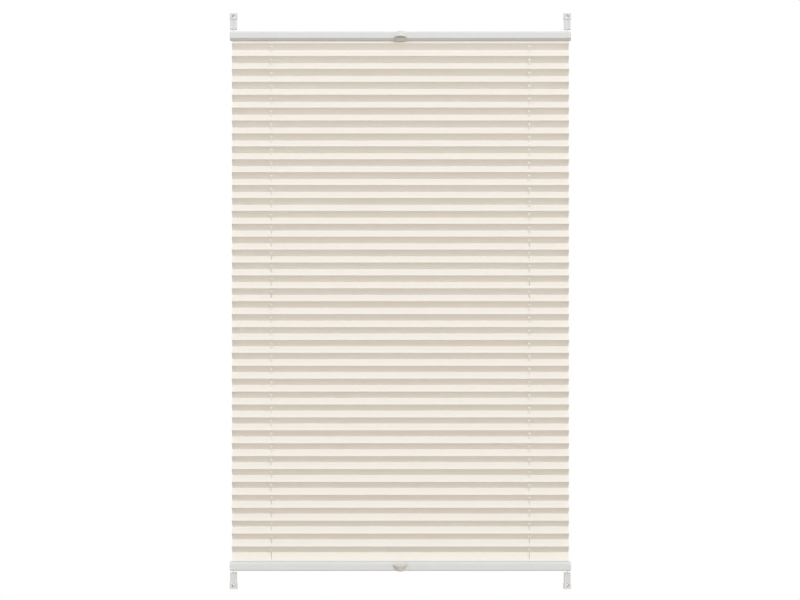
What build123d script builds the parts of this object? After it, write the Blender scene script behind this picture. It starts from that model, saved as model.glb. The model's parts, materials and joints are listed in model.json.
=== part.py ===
"""Pleated blind on two sliding rails, held by two tension cords between four brackets.

X runs along the width, Z is up and the front faces -Y. The origin is the middle of the
four bracket screws, on the window face that the brackets are screwed to.
"""

import math
import os

from build123d import *

# Blind as a whole
blind_width = 600.0
pleat_pitch = 22.7
pleat_depth = 16.4
pleat_count = 40
round_sides = 8
hole_sides = 6
recess_sides = 16
rail_to_window = 1.0
ridge_to_rail = 4.2
bracket_to_rail = 4.4

# Cloth
cloth_thickness = 0.4
cloth_end_gap = 0.5
cloth_hole_diameter = 4.0
end_ridge_inset = 2.7
hem_bend_lead = 1.2
hem_inset = 1.0
hem_gap = 0.3

# Rail section
rail_depth = 22.0
rail_height = 16.0
rail_wall = 1.2
rail_edge_radius = 2.4
lip_slope_depth = 6.0
lip_slope_height = 4.5
web_drop = 10.2
slot_width = 6.4
notch_width = 8.0
notch_length = 9.0

# Cloth strip in the rail
strip_side_gap = 0.45
strip_thickness = 1.2
strip_rib_width = 1.4
strip_end_gap = 1.0
strip_hole_diameter = 4.6

# Tension cords
cord_diameter = 1.1
cord_spacing = 1.8
cord_bend_radius = 5.0
cord_run_drop = 7.0
cord_end_inset = 6.0
cord_hole_inset = 72.8
cord_bore = 2.2
stop_diameter = 4.4
stop_length = 5.0
stop_bore_gap = 0.05

# End caps
cap_flange = 3.0
cap_edge_chamfer = 1.0
plug_length = 14.0
plug_gap = 0.3
pad_gap = 0.15

# Cord guides
guide_length = 18.0
guide_width = 11.0
guide_gap = 0.3
guide_chamfer = 1.5
spigot_length = 5.6
spigot_width = 6.4
spigot_gap = 0.15
spigot_reach = 0.2

# Handles
cup_mouth_radius = 12.6
cup_end_radius = 5.2
cup_height = 12.8
cup_overhang = 0.5
cup_wall = 1.5
cup_end_chamfer = 0.8
cup_mouth_angle = 19.0
clip_width = 16.0
clip_wall = 1.3
clip_gap = 0.1
clip_foot_reach = 5.6
clip_lap = 2.0

# Brackets
bracket_width = 11.2
bracket_height = 28.0
bracket_front_wall = 1.8
bracket_edge_chamfer = 1.2
foot_width = 13.0
foot_height = 10.0
foot_step = 0.8
foot_edge_chamfer = 1.2
groove_width = 5.0
groove_depth = 1.2
screw_inset = 6.0
screw_hole_diameter = 4.2
screw_recess_diameter = 7.6
screw_recess_depth = 1.4
pocket_floor = 6.0
pocket_height = 7.0
pocket_width = 5.2
stop_pocket_gap = 0.5
cord_slot_width = 2.0
cord_slot_gap = 1.15

# Places worked out from the sizes above
rail_length = blind_width - 2 * cap_flange
rail_y = -(rail_to_window + rail_depth / 2)
rail_front = rail_y - rail_depth / 2
first_ridge = pleat_count * pleat_pitch / 2
rail_inner = first_ridge + ridge_to_rail
rail_outer = rail_inner + rail_height
web_top = rail_outer - web_drop
web_under = web_top - rail_wall
lip_top = rail_inner + rail_wall
slope_top = rail_inner + lip_slope_height
bracket_inner = rail_outer + bracket_to_rail
bracket_outer = bracket_inner + bracket_height
run_z = rail_outer - cord_run_drop
edge_x = blind_width / 2 - cord_end_inset
hole_x = blind_width / 2 - cord_hole_inset
pocket_z = bracket_inner + pocket_floor
near_y = rail_y - cord_spacing / 2
far_y = rail_y + cord_spacing / 2
pocket_depth = -near_y + stop_diameter / 2 + stop_pocket_gap
cord_slot_depth = -near_y + cord_diameter / 2 + cord_slot_gap
bracket_depth = pocket_depth + bracket_front_wall
foot_depth = bracket_depth + foot_step


def section_face(half_outline):
    """Face across the rail from the front half of its outline, listed as depth and height."""
    front = [(rail_y - depth, height) for depth, height in half_outline]
    back = [(rail_y + depth, height) for depth, height in reversed(half_outline)]
    return Plane.YZ * Polygon(front + back)


def rounded_top(face, radius):
    """The same face with its two highest corners rounded."""
    corners = face.vertices().sort_by(Axis.Z)[-2:]
    return fillet(corners, radius)


def rail_outline():
    half_depth = rail_depth / 2
    half = [
        (half_depth, rail_outer),
        (half_depth, slope_top),
        (half_depth - lip_slope_depth, rail_inner),
    ]
    return rounded_top(section_face(half), rail_edge_radius)


def cord_chamber():
    half_depth = rail_depth / 2 - rail_wall
    half = [(half_depth, rail_outer - rail_wall), (half_depth, web_top)]
    return rounded_top(section_face(half), rail_edge_radius - rail_wall)


def channel_side(height):
    """Half the depth of the cloth channel at this height, inside the sloped lips."""
    slope_run = math.hypot(lip_slope_depth, lip_slope_height)
    slope_shift = rail_wall * slope_run / lip_slope_height
    slope_rate = lip_slope_depth / lip_slope_height
    on_slope = rail_depth / 2 - (slope_top - height) * slope_rate
    return min(rail_depth / 2 - rail_wall, on_slope - slope_shift)


def cloth_channel():
    half = [(channel_side(height), height) for height in (web_under, lip_top)]
    return section_face(half)


def along_x(face, length):
    return extrude(face, amount=length / 2, both=True, dir=(1, 0, 0))


def span_x(face, start, end):
    return extrude(Pos(start, 0, 0) * face, amount=end - start, dir=(1, 0, 0))


def block(x_range, y_range, z_range):
    """Box between the two values of each range."""
    sizes = [high - low for low, high in (x_range, y_range, z_range)]
    middles = [(low + high) / 2 for low, high in (x_range, y_range, z_range)]
    return Pos(*middles) * Box(*sizes)


def many_sided(diameter, sides=round_sides):
    """Small round shape with flat sides, this wide across its corners."""
    return RegularPolygon(diameter / 2, sides)


def bent_cord(points):
    """Cord along straight runs joined by quarter bends."""
    cord = None
    for edge in FilletPolyline(*points, radius=cord_bend_radius).edges():
        start, along = edge @ 0, edge % 0
        section = Plane(origin=start, x_dir=(0, 1, 0), z_dir=along) * many_sided(cord_diameter)
        if edge.geom_type == GeomType.LINE:
            piece = extrude(section, amount=edge.length)
        else:
            turn = Axis(edge.arc_center, (start - edge.arc_center).cross(along))
            piece = revolve(section, axis=turn, revolution_arc=90)
        cord = piece if cord is None else cord + piece
    return cord


def cord_passage(drop_x, drop_end, run_end):
    """Slot as wide as both cords, from a drop at drop_x round the bend to a level run."""
    half = cord_bore / 2
    width = cord_spacing + cord_bore
    across = (rail_y - width / 2, rail_y + width / 2)
    run_way = 1 if run_end > drop_x else -1
    drop_way = 1 if drop_end > run_z else -1
    bend_x = drop_x + run_way * cord_bend_radius
    bend_z = run_z + drop_way * cord_bend_radius
    drop = block((drop_x - half, drop_x + half), across, sorted((bend_z, drop_end)))
    run = block(sorted((bend_x, run_end)), across, (run_z - half, run_z + half))
    bend = Cylinder(cord_bend_radius + half, width, rotation=(90, 0, 0))
    bend -= Cylinder(cord_bend_radius - half, width, rotation=(90, 0, 0))
    quarter_x = sorted((bend_x, drop_x - run_way * half))
    quarter_z = sorted((bend_z, run_z - drop_way * half))
    bend = Pos(bend_x, rail_y, bend_z) * bend & block(quarter_x, across, quarter_z)
    return drop + run + bend


def top_rail():
    section = rail_outline() - cord_chamber() - cloth_channel()
    rail = along_x(section, rail_length)
    slot_y = (rail_y - slot_width / 2, rail_y + slot_width / 2)
    whole_x = (-rail_length / 2, rail_length / 2)
    rail -= block(whole_x, slot_y, (rail_inner, lip_top))
    notch_y = (rail_y - notch_width / 2, rail_y + notch_width / 2)
    notch_start = rail_length / 2 - notch_length
    for side in (-1, 1):
        ends = sorted((side * notch_start, side * rail_length / 2))
        rail -= block(ends, notch_y, (rail_outer - rail_wall, rail_outer))
        hole = Box(spigot_length + 2 * spigot_gap, spigot_width + 2 * spigot_gap, rail_wall)
        rail -= Pos(side * hole_x, rail_y, (web_top + web_under) / 2) * hole
    return rail


def cap_right():
    inner_x = rail_length / 2
    flange = span_x(rail_outline(), inner_x, inner_x + cap_flange)
    flange = chamfer(flange.faces().sort_by(Axis.X)[-1].edges(), cap_edge_chamfer)
    plug_face = offset(cord_chamber(), amount=-plug_gap)
    cap = flange + span_x(plug_face, inner_x - plug_length, inner_x)
    pad_half = notch_width / 2 - pad_gap
    pad_x = (inner_x - notch_length + pad_gap, inner_x)
    pad_z = (rail_outer - rail_wall - plug_gap - pad_gap, rail_outer)
    cap += block(pad_x, (rail_y - pad_half, rail_y + pad_half), pad_z)
    return cap - cord_passage(edge_x, bracket_inner, inner_x - 2 * plug_length)


def cord_guide_right():
    """Block on the web that turns one cord down and lets the other one run past."""
    middle = hole_x
    ends = (middle - guide_length / 2, middle + guide_length / 2)
    guide_y = (rail_y - guide_width / 2, rail_y + guide_width / 2)
    guide = block(ends, guide_y, (web_top, rail_outer - rail_wall - guide_gap))
    guide = chamfer(guide.edges().filter_by(Axis.Z), guide_chamfer)
    spigot_z = (web_top + web_under - spigot_reach) / 2
    spigot = Box(spigot_length, spigot_width, rail_wall + spigot_reach)
    guide += Pos(middle, rail_y, spigot_z) * spigot
    guide -= cord_passage(middle, rail_inner, middle - guide_length)
    tunnel_half = (cord_spacing + cord_bore) / 2
    tunnel_y = (rail_y - tunnel_half, rail_y + tunnel_half)
    return guide - block(ends, tunnel_y, (run_z - cord_bore / 2, run_z + cord_bore / 2))


def cloth_strip():
    strip_top = lip_top + 2 * hem_gap + cloth_thickness + strip_thickness
    strip_under = strip_top - strip_thickness
    strip_x = (-rail_length / 2 + strip_end_gap, rail_length / 2 - strip_end_gap)
    half_width = channel_side(lip_top) - strip_side_gap
    front = rail_y - half_width
    strip = block(strip_x, (front, rail_y + half_width), (strip_under, strip_top))
    strip += block(strip_x, (front, front + strip_rib_width), (lip_top, strip_under))
    hole = extrude(many_sided(strip_hole_diameter, hole_sides), amount=strip_thickness)
    for side in (-1, 1):
        strip -= Pos(side * hole_x, rail_y, strip_under) * hole
    return strip


def handle():
    """Finger cup, half a hollow cone open towards the cloth, on a clip hooked under the rail."""
    plate_front = rail_front - clip_gap - clip_wall
    cup_top = rail_outer + cup_overhang
    cup_z = cup_top - cup_height
    wide = 2 * cup_mouth_radius
    seat = Align.CENTER, Align.CENTER, Align.MIN

    taper = (cup_mouth_radius - cup_end_radius) / cup_height
    cup = Cone(cup_mouth_radius, cup_end_radius, cup_height, align=seat)
    cup = chamfer(cup.edges().sort_by(Axis.Z)[-1], cup_end_chamfer)
    hollow_end = cup_end_radius + taper * cup_wall - cup_wall
    cup -= Cone(cup_mouth_radius - cup_wall, hollow_end, cup_height - cup_wall, align=seat)
    below = Box(2 * wide, 2 * wide, wide, align=(Align.CENTER, Align.CENTER, Align.MAX))
    cup -= Rot(-cup_mouth_angle, 0, 0) * below
    cup &= Pos(0, -wide / 2, 0) * Box(wide, wide, cup_height, align=seat)

    end_z = cup_height - cup_end_chamfer
    half_plate = [(cup_mouth_radius, 0), (cup_mouth_radius - taper * end_z, end_z)]
    outline = half_plate + [(-x, z) for x, z in reversed(half_plate)]
    plate = extrude(Plane.XZ * Polygon(outline), amount=clip_wall, dir=(0, 1, 0))
    cup = Pos(0, plate_front, cup_z) * (cup + plate)

    ring = offset(rail_outline(), amount=clip_gap + clip_wall)
    ring -= offset(rail_outline(), amount=clip_gap)
    clip = along_x(ring, clip_width)
    clip_y = (plate_front, rail_front + clip_foot_reach)
    clip &= block((-clip_width, clip_width), clip_y, (rail_inner - rail_height, slope_top + clip_lap))
    return cup + clip


def bracket_top_right():
    middle = edge_x
    half = bracket_width / 2
    foot_half = foot_width / 2
    foot_inner = bracket_outer - foot_height
    body = block((middle - half, middle + half), (-bracket_depth, 0), (bracket_inner, bracket_outer))
    body = chamfer(body.edges().filter_by(Axis.Z).group_by(Axis.Y)[0], bracket_edge_chamfer)
    foot = block((middle - foot_half, middle + foot_half), (-foot_depth, 0), (foot_inner, bracket_outer))
    foot = chamfer(foot.edges().filter_by(Axis.Z).group_by(Axis.Y)[0], foot_edge_chamfer)
    bracket = body + foot

    groove_half = groove_width / 2
    groove_y = (-bracket_depth, -bracket_depth + groove_depth)
    bracket -= block((middle - groove_half, middle + groove_half), groove_y, (bracket_inner, foot_inner))
    slot_half = cord_slot_width / 2
    slot_z = (bracket_inner, pocket_z)
    bracket -= block((middle - slot_half, middle + slot_half), (-cord_slot_depth, 0), slot_z)
    pocket_half = pocket_width / 2
    pocket_z_range = (pocket_z, pocket_z + pocket_height)
    bracket -= block((middle - pocket_half, middle + pocket_half), (-pocket_depth, 0), pocket_z_range)

    screw_z = bracket_outer - screw_inset
    hole = Cylinder(screw_hole_diameter / 2, foot_depth, rotation=(90, 0, 0))
    bracket -= Pos(middle, -foot_depth / 2, screw_z) * hole
    recess = Plane.XZ * many_sided(screw_recess_diameter, recess_sides)
    recess = extrude(recess, amount=screw_recess_depth, dir=(0, 1, 0))
    return bracket - Pos(middle, -foot_depth, screw_z) * recess


def tension_cord(side, plane_y):
    """Cord that starts and ends on one side and runs down through the other side's holes."""
    end_z = pocket_z + stop_length
    points = [
        (side * edge_x, plane_y, end_z),
        (side * edge_x, plane_y, run_z),
        (-side * hole_x, plane_y, run_z),
        (-side * hole_x, plane_y, -run_z),
        (side * edge_x, plane_y, -run_z),
        (side * edge_x, plane_y, -end_z),
    ]
    return bent_cord(points)


def cord_stop(side, plane_y):
    section = many_sided(stop_diameter) - many_sided(cord_diameter + 2 * stop_bore_gap)
    return Pos(side * edge_x, plane_y, pocket_z) * extrude(section, amount=stop_length)


def beside(line, distance):
    """The folded line moved sideways by this distance, with its corners kept sharp."""
    ways = []
    for (start_y, start_z), (end_y, end_z) in zip(line, line[1:]):
        length = math.hypot(end_y - start_y, end_z - start_z)
        ways.append(((end_z - start_z) / length, (start_y - end_y) / length))
    before, after = ways[:1] + ways, ways + ways[-1:]
    moved = []
    for (y, z), (in_y, in_z), (out_y, out_z) in zip(line, before, after):
        reach = distance / (1 + in_y * out_y + in_z * out_z)
        moved.append((y + reach * (in_y + out_y), z + reach * (in_z + out_z)))
    return moved


def pleated_cloth():
    """One folded sheet from the hem in the top rail to the hem in the bottom rail."""
    hem_z = lip_top + hem_gap + cloth_thickness / 2
    hem_end_y = rail_y + channel_side(lip_top) - strip_side_gap - hem_inset
    hem = [(hem_end_y, hem_z), (rail_y - hem_bend_lead, hem_z)]
    folds = [(rail_y - pleat_depth / 2 + end_ridge_inset, first_ridge)]
    for fold in range(1, 2 * pleat_count):
        side = 1 if fold % 2 else -1
        folds.append((rail_y + side * pleat_depth / 2, first_ridge - fold * pleat_pitch / 2))
    line = hem + folds + [(y, -z) for y, z in reversed(hem)]
    outline = beside(line, cloth_thickness / 2) + beside(line, -cloth_thickness / 2)[::-1]
    cloth = along_x(Plane.YZ * Polygon(outline), rail_length - 2 * cloth_end_gap)
    punch = extrude(many_sided(cloth_hole_diameter, hole_sides), amount=rail_outer, both=True)
    for side in (-1, 1):
        cloth -= Pos(side * hole_x, rail_y, 0) * punch
    return cloth


def flipped(shape):
    """The same piece upside down, for the bottom of the blind."""
    return mirror(shape, about=Plane.XY)


def other_side(shape):
    return mirror(shape, about=Plane.YZ)


upper = {
    "rail": top_rail(),
    "cap_right": cap_right(),
    "cap_left": other_side(cap_right()),
    "handle": handle(),
    "cloth_strip": cloth_strip(),
    "cord_guide_right": cord_guide_right(),
    "cord_guide_left": other_side(cord_guide_right()),
}
parts = {}
for name, shape in upper.items():
    parts["top_" + name] = shape
    parts["bottom_" + name] = flipped(shape)

bracket = bracket_top_right()
parts["bracket_top_right"] = bracket
parts["bracket_top_left"] = other_side(bracket)
parts["bracket_bottom_right"] = flipped(bracket)
parts["bracket_bottom_left"] = flipped(other_side(bracket))
parts["cord_left"] = tension_cord(-1, near_y)
parts["cord_right"] = tension_cord(1, far_y)
top_stops = [cord_stop(-1, near_y), cord_stop(1, far_y)]
parts["cord_stops"] = Compound(children=top_stops + [flipped(stop) for stop in top_stops])
parts["pleated_cloth"] = pleated_cloth()

os.makedirs("parts", exist_ok=True)
for name, shape in parts.items():
    export_step(shape, "parts/" + name + ".step")
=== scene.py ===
# Pleated blind: folded cloth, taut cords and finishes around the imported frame.
import json
import math
import random

import bmesh
import bpy
from mathutils import Matrix, Vector


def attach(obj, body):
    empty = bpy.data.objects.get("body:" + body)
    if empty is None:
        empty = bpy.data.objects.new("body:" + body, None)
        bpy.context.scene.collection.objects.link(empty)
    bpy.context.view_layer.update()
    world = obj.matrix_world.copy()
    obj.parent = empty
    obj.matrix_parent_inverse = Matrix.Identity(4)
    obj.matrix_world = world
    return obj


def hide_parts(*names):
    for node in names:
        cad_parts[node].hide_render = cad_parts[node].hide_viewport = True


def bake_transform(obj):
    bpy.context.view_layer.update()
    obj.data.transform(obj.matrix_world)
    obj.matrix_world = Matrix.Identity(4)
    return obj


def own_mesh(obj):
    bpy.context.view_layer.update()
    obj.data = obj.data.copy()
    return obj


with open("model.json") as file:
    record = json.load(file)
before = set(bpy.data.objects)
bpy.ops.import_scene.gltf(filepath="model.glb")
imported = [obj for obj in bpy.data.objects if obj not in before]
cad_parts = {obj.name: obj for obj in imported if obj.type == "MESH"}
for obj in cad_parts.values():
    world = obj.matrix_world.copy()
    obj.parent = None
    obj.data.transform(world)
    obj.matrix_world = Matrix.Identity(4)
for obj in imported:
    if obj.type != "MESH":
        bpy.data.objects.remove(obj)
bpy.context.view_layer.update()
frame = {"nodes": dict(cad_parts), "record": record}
nodes = frame["nodes"]
mm = 0.001
print("frame loaded:", len(nodes), "nodes")


def hexColor(code):    # sRGB to linear
    parts = [int(code[i:i + 2], 16) / 255 for i in (1, 3, 5)]
    linear = [p / 12.92 if p <= 0.04045 else ((p + 0.055) / 1.055) ** 2.4 for p in parts]
    return (*linear, 1.0)


def addNode(owner, kind, values=None, links=None, **settings):
    tree = owner.node_tree
    node = tree.nodes.new(kind)
    for name, value in settings.items():
        setattr(node, name, value)
    for socket, value in (values or {}).items():
        node.inputs[socket].default_value = value
    for socket, source in (links or {}).items():
        tree.links.new(source, node.inputs[socket])
    return node


def newMaterial(name):
    mat = bpy.data.materials.new(name)
    mat.use_nodes = True
    mat.node_tree.nodes.clear()
    return mat


def newPiece(name, bm, material):
    mesh = bpy.data.meshes.new(name)
    bm.to_mesh(mesh)
    bm.free()
    piece = bpy.data.objects.new(name, mesh)
    bpy.context.scene.collection.objects.link(piece)
    mesh.materials.append(material)
    return piece


# Wave bands repeat every 2 pi / 20 of a unit at scale 1.
waveUnit = math.pi / 10

# Crepe-woven polyester, dyed cream: matt with a soft sheen where it turns away, a fine thread grid
# and faint slubs along the width.
clothFinish = {
    "light": "#F0EDE8",
    "dark": "#EAE7E1",
    "thread": 0.7 * mm,    # drawn coarser than the real 0.4 mm, so that a close view shows it
    "threadWaver": 0.6,
    "slubLength": 30 * mm,
    "slubHeight": 1.5 * mm,
    "bump": 0.25,
    "bumpHeight": 0.08 * mm,
    "roughness": 0.85,
    "ior": 1.45,
    "specular": 0.25,
    "sheen": 0.4,
    "sheenRoughness": 0.5,
}


def makeClothMaterial(look):
    mat = newMaterial("crepeWovenPolyester")
    uv = addNode(mat, "ShaderNodeUVMap", uv_map="flatCloth").outputs["UV"]
    slubScale = (1 / look["slubLength"], 1 / look["slubHeight"], 1)
    slubMap = addNode(mat, "ShaderNodeMapping", {"Scale": slubScale}, {"Vector": uv})
    slub = addNode(mat, "ShaderNodeTexNoise", {"Scale": 1.0, "Detail": 3.0, "Roughness": 0.6},
                   {"Vector": slubMap.outputs["Vector"]})
    tint = addNode(mat, "ShaderNodeMix", {"A": hexColor(look["dark"]), "B": hexColor(look["light"])},
                   {"Factor": slub.outputs["Fac"]}, data_type="RGBA")
    threads = {"Scale": waveUnit / look["thread"], "Distortion": look["threadWaver"], "Detail": 1.0,
               "Detail Scale": 0.4}
    warp = addNode(mat, "ShaderNodeTexWave", threads, {"Vector": uv}, bands_direction="X")
    weft = addNode(mat, "ShaderNodeTexWave", threads, {"Vector": uv}, bands_direction="Y")
    weave = addNode(mat, "ShaderNodeMath", {}, {0: warp.outputs["Fac"], 1: weft.outputs["Fac"]},
                    operation="MULTIPLY")
    height = addNode(mat, "ShaderNodeMath", {}, {0: weave.outputs["Value"], 1: slub.outputs["Fac"]},
                     operation="ADD")
    bump = addNode(mat, "ShaderNodeBump", {"Strength": look["bump"], "Distance": look["bumpHeight"]},
                   {"Height": height.outputs["Value"]})
    shader = addNode(mat, "ShaderNodeBsdfPrincipled",
                     {"Roughness": look["roughness"], "IOR": look["ior"],
                      "Specular IOR Level": look["specular"], "Sheen Weight": look["sheen"],
                      "Sheen Roughness": look["sheenRoughness"]},
                     {"Base Color": tint.outputs["Result"], "Normal": bump.outputs["Normal"]})
    addNode(mat, "ShaderNodeOutputMaterial", links={"Surface": shader.outputs["BSDF"]})
    return mat


# Hard finishes. Each has a grain from its making, a slow drift of tone and a patchy gloss.
# stretch draws the grain out along the width, as an extrusion does.
hardFinishes = {
    # powder-coated aluminium: satin, with the soft orange peel of the melted powder
    "powderCoatedAluminium": {"light": "#DADDDF", "dark": "#D5D8DA", "grain": 1.6 * mm, "stretch": 1.0,
                              "depth": 0.020 * mm, "rough": (0.36, 0.46), "metallic": 0.0, "ior": 1.5},
    # moulded ABS: eggshell sheen from a spark-eroded mould
    "mouldedAbs": {"light": "#DEDFE1", "dark": "#D9DADC", "grain": 0.5 * mm, "stretch": 1.0,
                   "depth": 0.015 * mm, "rough": (0.42, 0.55), "metallic": 0.0, "ior": 1.52},
    # moulded ABS of the finger cups: polished smoother than the brackets by the mould
    "polishedAbs": {"light": "#DAD9D6", "dark": "#D5D4D1", "grain": 0.8 * mm, "stretch": 1.0,
                    "depth": 0.008 * mm, "rough": (0.34, 0.44), "metallic": 0.0, "ior": 1.52},
    # extruded PVC: matt with die lines along the strip
    "extrudedPvc": {"light": "#E6E5E1", "dark": "#DAD9D4", "grain": 0.6 * mm, "stretch": 60.0,
                    "depth": 0.020 * mm, "rough": (0.50, 0.62), "metallic": 0.0, "ior": 1.53},
    # acetal: waxy off-white that cords slide over
    "mouldedAcetal": {"light": "#E8E6DE", "dark": "#DFDDD4", "grain": 0.4 * mm, "stretch": 1.0,
                      "depth": 0.010 * mm, "rough": (0.30, 0.42), "metallic": 0.0, "ior": 1.48},
    # crimped aluminium: bare metal, scuffed by the pliers
    "crimpedAluminium": {"light": "#D0D2D4", "dark": "#A9ABAE", "grain": 0.3 * mm, "stretch": 1.0,
                         "depth": 0.030 * mm, "rough": (0.25, 0.50), "metallic": 1.0, "ior": 1.5},
}
toneDrift = 45 * mm    # how far apart the slow changes of tone are
grainStrength = 0.4


def makeHardMaterial(name, look):
    mat = newMaterial(name)
    place = addNode(mat, "ShaderNodeTexCoord").outputs["Object"]
    grainMap = addNode(mat, "ShaderNodeMapping", {"Scale": (1 / look["stretch"], 1, 1)},
                       {"Vector": place})
    grain = addNode(mat, "ShaderNodeTexNoise",
                    {"Scale": 1 / look["grain"], "Detail": 2.0, "Roughness": 0.5},
                    {"Vector": grainMap.outputs["Vector"]})
    drift = addNode(mat, "ShaderNodeTexNoise",
                    {"Scale": 1 / toneDrift, "Detail": 4.0, "Roughness": 0.55}, {"Vector": place})
    tint = addNode(mat, "ShaderNodeMix", {"A": hexColor(look["dark"]), "B": hexColor(look["light"])},
                   {"Factor": drift.outputs["Fac"]}, data_type="RGBA")
    low, high = look["rough"]
    gloss = addNode(mat, "ShaderNodeMapRange", {"To Min": low, "To Max": high},
                    {"Value": drift.outputs["Fac"]})
    bump = addNode(mat, "ShaderNodeBump", {"Strength": grainStrength, "Distance": look["depth"]},
                   {"Height": grain.outputs["Fac"]})
    shader = addNode(mat, "ShaderNodeBsdfPrincipled", {"Metallic": look["metallic"], "IOR": look["ior"]},
                     {"Base Color": tint.outputs["Result"], "Roughness": gloss.outputs["Result"],
                      "Normal": bump.outputs["Normal"]})
    addNode(mat, "ShaderNodeOutputMaterial", links={"Surface": shader.outputs["BSDF"]})
    return mat


# Braided polyester cord: off-white, soft sheen, crossing strands with a row of tiny shadows painted
# between them in the darker colour (painted shade), over a real bump.
cordFinish = {
    "light": "#F1EFEA",
    # dark is painted shade: the colour given to the grooves between the strands
    "dark": "#D3CEC4",
    "strand": 1.3 * mm,
    "lean": 35,    # degrees that the strands lean off level
    "bump": 0.5,
    "bumpHeight": 0.1 * mm,
    "roughness": 0.7,
    "ior": 1.5,
    "sheen": 0.1,
}


def makeCordMaterial(look):
    mat = newMaterial("braidedPolyester")
    place = addNode(mat, "ShaderNodeTexCoord").outputs["Object"]
    strands = []
    for lean in (-look["lean"], look["lean"]):
        turned = addNode(mat, "ShaderNodeMapping", {"Rotation": (0, math.radians(lean), 0)},
                         {"Vector": place})
        strands.append(addNode(mat, "ShaderNodeTexWave", {"Scale": waveUnit / look["strand"]},
                               {"Vector": turned.outputs["Vector"]}, bands_direction="Z"))
    braidAndGrooveShade = addNode(mat, "ShaderNodeMath", {},
                    {0: strands[0].outputs["Fac"], 1: strands[1].outputs["Fac"]}, operation="MAXIMUM")
    # painted shade: the grooves between the strands get the darker colour, the strand tops the lighter;
    # the same pattern also drives the real bump
    tint = addNode(mat, "ShaderNodeMix", {"A": hexColor(look["dark"]), "B": hexColor(look["light"])},
                   {"Factor": braidAndGrooveShade.outputs["Value"]}, data_type="RGBA")
    bump = addNode(mat, "ShaderNodeBump", {"Strength": look["bump"], "Distance": look["bumpHeight"]},
                   {"Height": braidAndGrooveShade.outputs["Value"]})
    shader = addNode(mat, "ShaderNodeBsdfPrincipled",
                     {"Roughness": look["roughness"], "IOR": look["ior"], "Sheen Weight": look["sheen"]},
                     {"Base Color": tint.outputs["Result"], "Normal": bump.outputs["Normal"]})
    addNode(mat, "ShaderNodeOutputMaterial", links={"Surface": shader.outputs["BSDF"]})
    return mat


clothMaterial = makeClothMaterial(clothFinish)
cordMaterial = makeCordMaterial(cordFinish)
hardMaterials = {name: makeHardMaterial(name, look) for name, look in hardFinishes.items()}

slotFinish = {
    "rail_coat": "powderCoatedAluminium",
    "end_cap": "mouldedAbs",
    "bracket": "mouldedAbs",
    "handle": "polishedAbs",
    "cloth_strip": "extrudedPvc",
    "cord_guide": "mouldedAcetal",
    "cord_stop": "crimpedAluminium",
}
for part in frame["record"]["subparts"]:
    finish = slotFinish.get(part["material_slot"])
    if finish:
        mesh = nodes[part["node"]].data
        mesh.materials.clear()
        mesh.materials.append(hardMaterials[finish])
print("finishes:", len(bpy.data.materials), "materials")

# The cloth is one folded sheet. It is cut at the middle ridge, so that each half folds up with its
# own rail, and just outside the rails, so that the hems stay as they are in their slots.
onCut = 1e-6    # points this close to a cut lie on it
pleats = {
    "width": 593 * mm,
    "pitch": 22.7 * mm,
    "depth": 16.4 * mm,
    "faces": 80,    # between folds, two to a pitch
    "firstRidge": 454 * mm,
    "midY": -12 * mm,
    "thickness": 0.4 * mm,
    "hemZ": 459.9 * mm,
    "hemCut": 456.5 * mm,
    "hemBendY": -13.2 * mm,
    "hemEndY": -8.85 * mm,
    "endInset": 2.7 * mm,    # the top rail holds the first ridge back
    "kneeY": -15.6 * mm,    # the cloth bends back here into the bottom rail
    "kneeZ": 457.2 * mm,
    "foldRadius": 0.5 * mm,
    "foldSteps": 4,
    "columns": 24,    # strips across the width
    "edgeStrip": 0.15 * mm,    # a strip this narrow keeps the shading of the cut edge to itself
    "unevenFold": 0.10 * mm,    # how far a fold stands off its line
    "unevenWave": 0.12 * mm,    # slow sway of a fold along the width
    "swayRate": 14,    # radians a metre
    "swayStart": 6.3,    # radians, about a full turn: a fold's sway begins anywhere in it
    "swayShare": (0.5, 1.0),    # how much of the sway a fold has
    "seed": 11,
    "holeX": 227.2 * mm,
    "holeRadius": 2.0 * mm,
    "holeSides": 20,
    "punchLength": 1.0,    # longer than the cloth is high
    "flatLength": {"top": 798.7 * mm, "bottom": 795.7 * mm},    # each half, laid out
}


def cutSheet(bm, place, way, clearAhead=False):
    bmesh.ops.bisect_plane(bm, geom=bm.verts[:] + bm.edges[:] + bm.faces[:], dist=onCut,
                           plane_co=place, plane_no=way, clear_outer=clearAhead)


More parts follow.
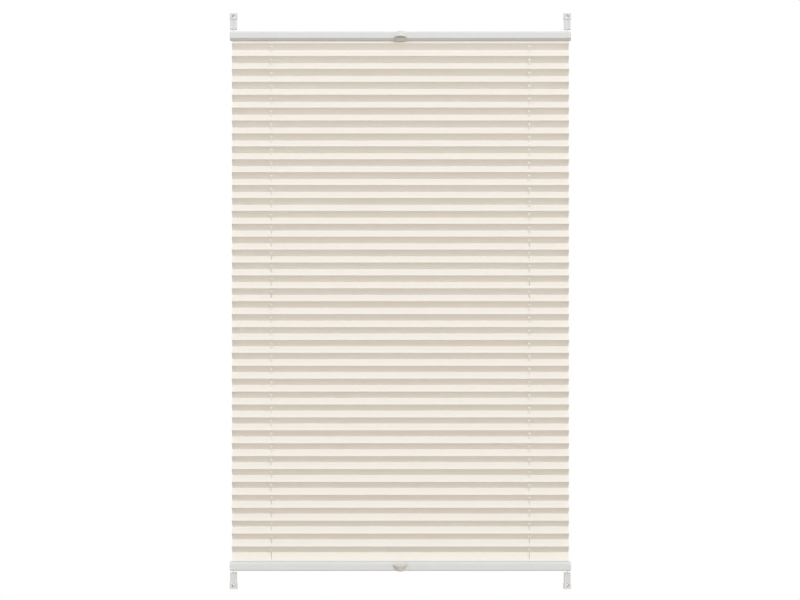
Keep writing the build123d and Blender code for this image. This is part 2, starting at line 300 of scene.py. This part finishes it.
def foldSheet(look):
    half, rise = look["width"] / 2, look["pitch"] / 2
    hem = [(look["hemEndY"], look["hemZ"]), (look["hemBendY"], look["hemZ"])]
    line = hem + [(look["midY"] - look["depth"] / 2 + look["endInset"], look["firstRidge"])]
    for fold in range(1, look["faces"]):
        reach = look["depth"] / 2 if fold % 2 else -look["depth"] / 2
        line.append((look["midY"] + reach, look["firstRidge"] - fold * rise))
    line += [(look["kneeY"], -look["kneeZ"])] + [(y, -z) for y, z in reversed(hem)]

    # one edge across the width, drawn down along the folds
    bm = bmesh.new()
    ends = [bm.verts.new((side * half, *line[0])) for side in (-1, 1)]
    edge = bm.edges.new(ends)
    folds = []
    for (y, z), (nextY, nextZ) in zip(line, line[1:]):
        drawn = bmesh.ops.extrude_edge_only(bm, edges=[edge])["geom"]
        edge = next(e for e in drawn if isinstance(e, bmesh.types.BMEdge) and len(e.link_faces) == 1
                    and all(v in drawn for v in e.verts))
        bmesh.ops.translate(bm, verts=list(edge.verts), vec=(0, nextY - y, nextZ - z))
        folds.append(edge)
    bmesh.ops.recalc_face_normals(bm, faces=bm.faces)
    bmesh.ops.bevel(bm, geom=folds[:-1], offset=look["foldRadius"], offset_type="OFFSET",
                    segments=look["foldSteps"], profile=0.5, affect="EDGES", material=-1)
    across = [e for e in bm.edges if abs(e.verts[0].co.x - e.verts[1].co.x) > half]
    bmesh.ops.subdivide_edges(bm, edges=across, cuts=look["columns"] - 1, use_grid_fill=True)
    for side in (-1, 1):
        cutSheet(bm, (side * (half - look["edgeStrip"]), 0, 0), (1, 0, 0))

    # no fold is dead straight or exactly as deep as the next
    draw = random.Random(look["seed"])
    offsets = [(draw.uniform(-1, 1), draw.uniform(0, look["swayStart"]), draw.uniform(*look["swayShare"]))
               for _ in range(look["faces"] + 1)]
    for v in bm.verts:
        place = (look["firstRidge"] - v.co.z) / rise
        fold = round(place)
        if 0 < fold < look["faces"]:
            shift, phase, sway = offsets[fold]
            hold = max(0.0, 1 - 2 * abs(place - fold))    # none left half-way between two folds
            wave = math.sin(v.co.x * look["swayRate"] + phase) * look["unevenWave"] * sway
            v.co.y += hold * (shift * look["unevenFold"] + wave)
    return bm


def clothPart(name, sheet, cuts, look, material):
    bm = bmesh.new()
    bm.from_mesh(sheet)
    for height, way in cuts:    # of each cut, the side that way points to is kept
        cutSheet(bm, (0, 0, height), (0, 0, -way), clearAhead=True)
    # the laid-out cloth as a UV map, in metres, so that the weave follows the folds
    stretch = math.hypot(look["pitch"] / 2, look["depth"]) / (look["pitch"] / 2)
    flatMap = bm.loops.layers.uv.new("flatCloth")
    for face in bm.faces:
        face.smooth = True
        for corner in face.loops:
            corner[flatMap].uv = (corner.vert.co.x, corner.vert.co.z * stretch)
    part = newPiece(name, bm, material)
    # the thickness stays live, so that the folded-up cloth is as thick as the open cloth
    skin = part.modifiers.new("thickness", "SOLIDIFY")
    skin.thickness, skin.offset = look["thickness"], 0    # half of it to each side
    part.modifiers.new("flatFaces", "WEIGHTED_NORMAL")
    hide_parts("pleated_cloth")
    return part


def punchSheet(sheetMesh, look, material):
    # a backing makes the sheet a solid that can be punched, and comes off again afterwards
    whole = newPiece("wholeCloth", sheetMesh, material)
    punchMesh = bmesh.new()
    for side in (-1, 1):
        bmesh.ops.create_cone(punchMesh, cap_ends=True, segments=look["holeSides"],
                              radius1=look["holeRadius"], radius2=look["holeRadius"],
                              depth=look["punchLength"],
                              matrix=Matrix.Translation((side * look["holeX"], look["midY"], 0)))
    for face in punchMesh.faces:
        face.material_index = 1
    punch = newPiece("punch", punchMesh, material)
    for solid in (whole, punch):
        solid.data.materials.append(material)
    backing = whole.modifiers.new("backing", "SOLIDIFY")
    backing.thickness, backing.offset = look["thickness"], -1
    backing.material_offset = backing.material_offset_rim = 1
    holes = whole.modifiers.new("cordHoles", "BOOLEAN")
    holes.operation, holes.solver, holes.object = "DIFFERENCE", "EXACT", punch
    bpy.context.view_layer.update()
    punched = bmesh.new()
    punched.from_mesh(whole.evaluated_get(bpy.context.evaluated_depsgraph_get()).data)
    bmesh.ops.delete(punched, geom=[f for f in punched.faces if f.material_index], context="FACES")
    for spare in (whole, punch):
        bpy.data.objects.remove(spare)
    sheet = bpy.data.meshes.new("punchedCloth")
    punched.to_mesh(sheet)
    punched.free()
    return sheet


def makeCloth(look, material):
    sheet = punchSheet(foldSheet(look), look, material)
    parts = []
    for rail, up in (("top", 1), ("bottom", -1)):
        tag, hemCut = rail.capitalize(), up * look["hemCut"]
        half = clothPart("cloth" + tag, sheet, [(0, up), (hemCut, -up)], look, material)
        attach(half, "fixed_set")
        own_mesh(half)
        hem = clothPart("hem" + tag, sheet, [(hemCut, up)], look, material)
        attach(hem, rail + "_rail_set")
        parts += [half, hem]
    return parts


clothParts = makeCloth(pleats, clothMaterial)
print("cloth:", [len(part.data.polygons) for part in clothParts], "faces")

# Two taut cords. Each starts at one side's bracket, crosses inside the rail and drops through the
# other side's holes.
cords = {
    "radius": 0.55 * mm,
    "sides": 12,
    "runSteps": 3,    # roundness of the runs in the rails
    "bend": 5 * mm,
    "endX": 294.0 * mm,
    "holeX": 227.2 * mm,
    "stopZ": 489.6 * mm,
    "bracketZ": 478.6 * mm,
    "railZ": 474.2 * mm,
    "capZ": 471.5 * mm,
    "runZ": 467.2 * mm,
    "dropZ": 462.0 * mm,
    "y": {"left": -12.9 * mm, "right": -11.1 * mm},
}


def straightCord(name, x, y, heights, look):
    bm = bmesh.new()
    ring = bmesh.ops.create_circle(bm, segments=look["sides"], radius=look["radius"],
                                   matrix=Matrix.Translation((x, y, heights[0])))["verts"]
    edges = bm.edges[:]
    for here, there in zip(heights, heights[1:]):
        drawn = bmesh.ops.extrude_edge_only(bm, edges=edges)["geom"]
        ring = [v for v in drawn if isinstance(v, bmesh.types.BMVert)]
        edges = [e for e in drawn if isinstance(e, bmesh.types.BMEdge)
                 and all(v in ring for v in e.verts)]
        bmesh.ops.translate(bm, verts=ring, vec=(0, 0, there - here))
    bmesh.ops.holes_fill(bm, edges=[e for e in bm.edges if len(e.link_faces) == 1])
    bmesh.ops.recalc_face_normals(bm, faces=bm.faces)
    piece = newPiece(name, bm, cordMaterial)
    for face in piece.data.polygons:
        face.use_smooth = len(face.vertices) == 4
    return piece


def runCord(name, points, look):
    curve = bpy.data.curves.new(name, "CURVE")
    curve.dimensions = "3D"
    curve.bevel_depth = look["radius"]
    curve.bevel_resolution = look["runSteps"]
    curve.use_fill_caps = True
    spline = curve.splines.new("NURBS")
    spline.points.add(len(points) - 1)
    for point, place in zip(spline.points, points):
        point.co = (*place, 1)
    spline.order_u = 3    # smooth, but close to its points
    spline.use_endpoint_u = True
    curve.materials.append(cordMaterial)
    piece = bpy.data.objects.new(name, curve)
    bpy.context.scene.collection.objects.link(piece)
    return piece


def makeCords(look):
    pieces = []
    for side, way in (("left", -1), ("right", 1)):
        y, endX, dropX = look["y"][side], way * look["endX"], -way * look["holeX"]
        bend = way * look["bend"]
        for end, up in (("top", 1), ("bottom", -1)):
            tag = side.capitalize() + end.capitalize()
            outer = straightCord("cordOuter" + tag, endX, y,
                                 [up * look[z] for z in ("stopZ", "bracketZ", "railZ", "capZ")], look)
            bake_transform(outer)
            route = [(endX, y, up * look["capZ"]), (endX, y, up * look["runZ"]),
                     (endX - bend, y, up * look["runZ"]), (dropX + bend, y, up * look["runZ"]),
                     (dropX, y, up * look["runZ"]), (dropX, y, up * look["dropZ"])]
            run = runCord("cordRun" + tag, route, look)
            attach(run, end + "_rail_set")
            inner = straightCord("cordInner" + tag, dropX, y, [up * look["dropZ"], 0], look)
            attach(inner, "fixed_set")
            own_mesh(inner)
            for piece in (outer, run, inner):
                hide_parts("cord_" + side)
                pieces.append(piece)
    return pieces


cordPieces = makeCords(cords)
print("cords:", len(cordPieces), "pieces")

# Floor and light
stageLook = {
    "floorZ": -0.6,
    "floorSize": 14.0,
    "floorColor": "#E8E8E6",
    "bounceColor": "#BFB3A2",    # what the floor gives back to the object: warmer and dimmer
    "shadowReach": 0.30,    # out to here the floor is lit as it lies, with the shadow
    "whiteFrom": 0.60,    # from here on it is seen as the white background
    "skyTop": 0.66,
    "skyLevel": 1.05,
    "skyBack": 0.45,    # added behind the blind, which the key doesn't reach
    "keyStrength": 1.10,
    "keyAngle": 16,    # degrees across, for soft shadows
    "keyFrom": (0.20, -0.83, 0.52),
}


def makeFloor(look):
    bm = bmesh.new()
    bmesh.ops.create_grid(bm, x_segments=1, y_segments=1, size=look["floorSize"] / 2,
                          matrix=Matrix.Translation((0, 0, look["floorZ"])))
    mat = newMaterial("paleFloor")
    place = addNode(mat, "ShaderNodeTexCoord").outputs["Object"]
    flatPlace = addNode(mat, "ShaderNodeVectorMath", {1: (1, 1, 0)}, {0: place}, operation="MULTIPLY")
    away = addNode(mat, "ShaderNodeVectorMath", {}, {0: flatPlace.outputs["Vector"]}, operation="LENGTH")
    fade = addNode(mat, "ShaderNodeMapRange",
                   {"From Min": look["shadowReach"], "From Max": look["whiteFrom"]},
                   {"Value": away.outputs["Value"]}, interpolation_type="SMOOTHSTEP")
    path = addNode(mat, "ShaderNodeLightPath")
    seen = addNode(mat, "ShaderNodeMath", {},
                   {0: path.outputs["Is Camera Ray"], 1: path.outputs["Is Glossy Ray"]},
                   operation="MAXIMUM")
    share = addNode(mat, "ShaderNodeMath", {}, {0: fade.outputs["Result"], 1: seen.outputs["Value"]},
                    operation="MULTIPLY")
    tone = addNode(mat, "ShaderNodeMix",
                   {"A": hexColor(look["bounceColor"]), "B": hexColor(look["floorColor"])},
                   {"Factor": seen.outputs["Value"]}, data_type="RGBA")
    matt = addNode(mat, "ShaderNodeBsdfDiffuse", {}, {"Color": tone.outputs["Result"]})
    white = addNode(mat, "ShaderNodeEmission", {"Color": (1, 1, 1, 1), "Strength": 1.0})
    mixed = addNode(mat, "ShaderNodeMixShader", {},
                    {0: share.outputs["Value"], 1: matt.outputs["BSDF"], 2: white.outputs["Emission"]})
    addNode(mat, "ShaderNodeOutputMaterial", links={"Surface": mixed.outputs["Shader"]})
    floor = newPiece("floor", bm, mat)


def makeLight(look):
    world = bpy.data.worlds.new("studio")
    bpy.context.scene.world = world
    world.use_nodes = True
    world.node_tree.nodes.clear()
    way = addNode(world, "ShaderNodeTexCoord").outputs["Generated"]
    parts = addNode(world, "ShaderNodeSeparateXYZ", {}, {"Vector": way})
    level = addNode(world, "ShaderNodeMapRange", {"To Min": look["skyLevel"], "To Max": look["skyTop"]},
                    {"Value": parts.outputs["Z"]})
    behind = addNode(world, "ShaderNodeMapRange", {"To Min": 0.0, "To Max": look["skyBack"]},
                     {"Value": parts.outputs["Y"]})
    strength = addNode(world, "ShaderNodeMath", {},
                       {0: level.outputs["Result"], 1: behind.outputs["Result"]}, operation="ADD")
    path = addNode(world, "ShaderNodeLightPath")
    seen = addNode(world, "ShaderNodeMath", {},
                   {0: path.outputs["Is Camera Ray"], 1: path.outputs["Is Glossy Ray"]},
                   operation="MAXIMUM")
    through = addNode(world, "ShaderNodeMath", {},
                      {0: seen.outputs["Value"], 1: path.outputs["Is Transmission Ray"]},
                      operation="MAXIMUM")
    sky = addNode(world, "ShaderNodeBackground", {"Color": (1, 1, 1, 1)},
                  {"Strength": strength.outputs["Value"]})
    white = addNode(world, "ShaderNodeBackground", {"Color": (1, 1, 1, 1), "Strength": 1.0})
    mixed = addNode(world, "ShaderNodeMixShader", {},
                    {0: through.outputs["Value"], 1: sky.outputs["Background"],
                     2: white.outputs["Background"]})
    addNode(world, "ShaderNodeOutputWorld", links={"Surface": mixed.outputs["Shader"]})

    key = bpy.data.lights.new("softKey", "SUN")
    key.energy = look["keyStrength"]
    key.angle = math.radians(look["keyAngle"])
    lamp = bpy.data.objects.new("softKey", key)
    bpy.context.scene.collection.objects.link(lamp)
    lamp.rotation_mode = "QUATERNION"
    lamp.rotation_quaternion = Vector(look["keyFrom"]).to_track_quat("Z", "Y")


# The photograph is taken level, from straight in front, with a long lens.
cameraLook = {
    "distance": 4.69,    # from the front of the rails
    "frontY": -23 * mm,
    "side": -0.7 * mm,
    "height": 2 * mm,
    "lens": 120.1,
    "sensor": 36.0,
    "clip": (0.1, 60),
}


def makeCamera(look):
    data = bpy.data.cameras.new("camera")
    data.lens, data.sensor_width = look["lens"], look["sensor"]
    data.clip_start, data.clip_end = look["clip"]
    camera = bpy.data.objects.new("camera", data)
    bpy.context.scene.collection.objects.link(camera)
    camera.location = (look["side"], look["frontY"] - look["distance"], look["height"])
    camera.rotation_euler = (math.radians(90), 0, 0)
    bpy.context.scene.camera = camera


makeFloor(stageLook)
makeLight(stageLook)
makeCamera(cameraLook)
bpy.context.scene.view_settings.view_transform = "Standard"
print("stage set")
